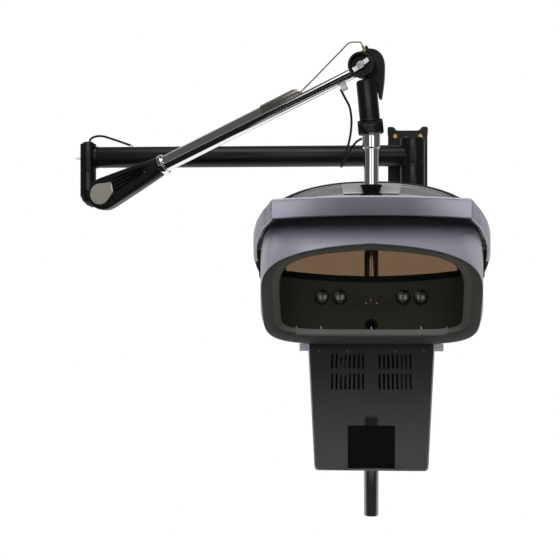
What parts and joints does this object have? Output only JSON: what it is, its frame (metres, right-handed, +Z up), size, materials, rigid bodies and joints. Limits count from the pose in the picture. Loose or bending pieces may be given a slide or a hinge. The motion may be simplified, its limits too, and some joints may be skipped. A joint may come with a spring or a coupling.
{
  "type": "wall-mounted hair steamer",
  "caption": "Hair steamer hood on a two-part wall arm, with a sight window, a lower box with vents and a hatch, and a pole that turns under the head.",
  "frame": {"origin": "centre of the wall plate's back face, on the wall", "axes": "+Z up, +Y into the wall, +X to the right of a viewer who faces the wall"},
  "size_m": [0.9652, 0.6544, 1.0427],
  "materials": {
    "cast_black": "satin",
    "tube_black": "satin",
    "zinc_yellow": "satin",
    "steel": "satin",
    "nickel": "satin",
    "steel_dark": "satin",
    "chrome": "polished",
    "lead_black": "matte",
    "grommet_pale": "matte",
    "pearl_grey": "pearl",
    "rim_dark": "fine grain",
    "liner_dark": "fine grain",
    "cover_light": "satin",
    "brown_clear": "clear",
    "seal_black": "matte",
    "frosted": "frosted",
    "amber": "clear",
    "panel_black": "fine grain",
    "olive_dark": "matte",
    "tank_clear": "translucent",
    "cast_alloy": "cast",
    "board_green": "matte",
    "dial_grey": "satin",
    "button_green": "satin",
    "button_red": "satin"
  },
  "bodies": {
    "wall_mount": {"wall_bracket": "cast_black", "wall_screws": "zinc_yellow", "pivot_spindle": "steel"},
    "wall_arm": {"pivot_sleeve": "cast_black", "sleeve_cap": "cast_black", "arm_tube": "tube_black", "elbow_post": "cast_black", "elbow_cap": "cast_black", "elbow_lead": "lead_black", "elbow_grommets": "grommet_pale"},
    "elbow": {"elbow_knuckle": "cast_black", "elbow_spindle": "steel", "tilt_pin": "steel"},
    "lift_arm": {"cast_socket": "cast_black", "knuckle_cap": "nickel", "ferrule": "chrome", "lift_tube": "chrome", "saddle": "chrome", "balance_spring": "cast_alloy", "head_boss": "cast_black", "lead_clip": "grommet_pale"},
    "rod": {"link_rod": "steel", "rod_eye": "zinc_yellow"},
    "head": {"head_carrier": "cast_black", "head_bolt": "steel", "lever_plate": "steel", "carrier_collar": "cast_black", "head_lead": "lead_black"},
    "hatch": {"hatch_cover": "panel_black"},
    "latch": {"hatch_latch": "olive_dark"},
    "dial": {"timer_dial": "dial_grey"},
    "start": {"start_button": "button_green"},
    "stop": {"stop_button": "button_red"},
    "steamer": {"pole_sleeve": "chrome", "pole": "chrome", "pole_collar": "lead_black", "pole_tip": "steel_dark", "hood_shell": "pearl_grey", "mouth_rim": "rim_dark", "handle_band": "pearl_grey", "band_brackets": "rim_dark", "hood_liner": "liner_dark", "inner_wall": "liner_dark", "sight_window": "brown_clear", "window_seal": "seal_black", "nozzle_domes": "frosted", "indicator_lenses": "amber", "steam_outlet": "seal_black", "rear_cover": "cover_light", "rear_frame": "rim_dark", "rear_window": "brown_clear", "box_housing": "pearl_grey", "front_panel": "panel_black", "panel_screws": "panel_black", "water_tank": "tank_clear", "heater": "cast_alloy", "blower": "panel_black", "pole_clamp": "cast_alloy", "control_board": "board_green", "control_panel": "panel_black"}
  },
  "joints": [
    {"name": "wall_swing", "type": "hinge", "parent": "wall_mount", "child": "wall_arm", "pos_m": [0.0095, -0.075, 0], "axis": [0, 0, 1], "range_deg": [0, 146]},
    {"name": "elbow_swing", "type": "hinge", "parent": "wall_arm", "child": "elbow", "pos_m": [-0.7605, -0.075, 0], "axis": [0, 0, -1], "range_deg": [0, 150]},
    {"name": "lift_tilt", "type": "hinge", "parent": "elbow", "child": "lift_arm", "pos_m": [-0.71136, -0.13003, -0.075], "axis": [-0.2563, -0.9666, 0], "range_deg": [-45, 3]},
    {"name": "head_tilt", "type": "hinge", "parent": "lift_arm", "child": "head", "pos_m": [-0.1077, -0.29009, 0.19655], "axis": [-0.2563, -0.9666, 0], "range_deg": [-3, 45]},
    {"name": "rod_hinge", "type": "hinge", "parent": "head", "child": "rod", "pos_m": [-0.1019, -0.29163, 0.2292], "axis": [-0.2563, -0.9666, 0], "range_deg": [-45, 3]},
    {"name": "steamer_turn", "type": "hinge", "parent": "head", "child": "steamer", "pos_m": [-0.08709, -0.29038, 0.04555], "axis": [0, 0, 1], "range_deg": [-58, 58]},
    {"name": "hatch_hinge", "type": "hinge", "parent": "steamer", "child": "hatch", "pos_m": [-0.08709, -0.40438, -0.67025], "axis": [1, 0, 0], "range_deg": [0, 85]},
    {"name": "latch_slide", "type": "slide", "parent": "steamer", "child": "latch", "axis": [0, 0, 1], "range_m": [0, 0.004], "stiffness_N_per_m": 400},
    {"name": "dial_turn", "type": "hinge", "parent": "steamer", "child": "dial", "pos_m": [-0.08709, -0.21238, -0.55545], "axis": [0, 1, 0], "range_deg": [0, 270]},
    {"name": "start_press", "type": "slide", "parent": "steamer", "child": "start", "axis": [0, -1, 0], "range_m": [0, 0.0025], "stiffness_N_per_m": 600},
    {"name": "stop_press", "type": "slide", "parent": "steamer", "child": "stop", "axis": [0, -1, 0], "range_m": [0, 0.0025], "stiffness_N_per_m": 600}
  ],
  "couplings": [
    {"joint": "head_tilt", "follows": "lift_tilt", "ratio": -1},
    {"joint": "rod_hinge", "follows": "lift_tilt", "ratio": 1}
  ]
}
